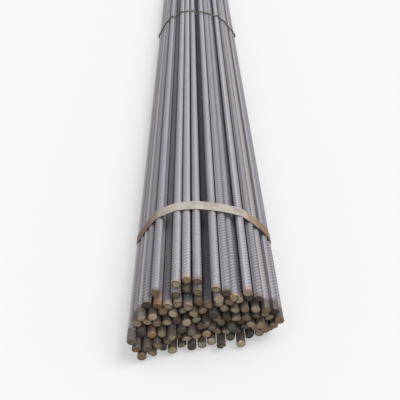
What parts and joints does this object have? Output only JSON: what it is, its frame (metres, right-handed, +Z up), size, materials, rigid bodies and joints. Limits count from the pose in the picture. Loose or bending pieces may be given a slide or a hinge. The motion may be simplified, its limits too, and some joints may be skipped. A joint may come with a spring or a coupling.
{
  "type": "rebar bundle",
  "caption": "Bundle of straight deformed reinforcing bars lying flat, drawn into a low dome by flat steel straps near its ends and wire ties between.",
  "frame": {"origin": "on the floor under the middle of the bundle", "axes": "+Y along the bars away from the end that the picture shows, +Z up, +X to the right seen from that end"},
  "size_m": [0.3772, 6.0993, 0.1847],
  "materials": {
    "bar_steel": "dull grey mill scale with traces of rust",
    "strap_steel": "dull, tan from thin rust",
    "seal_steel": "dull, worn and brown",
    "wire_steel": "dark mill scale"
  },
  "bodies": {
    "root": {"bars_row_1": "bar_steel", "bars_row_2": "bar_steel", "bars_row_3": "bar_steel", "bars_row_4": "bar_steel", "bars_row_5": "bar_steel", "bars_row_6": "bar_steel", "bars_row_7": "bar_steel", "bars_row_8": "bar_steel", "strap_front": "strap_steel", "strap_rear": "strap_steel", "strap_seal_front": "seal_steel", "strap_seal_rear": "seal_steel", "wire_tie_1": "wire_steel", "wire_tie_2": "wire_steel", "wire_tie_3": "wire_steel"}
  },
  "joints": []
}
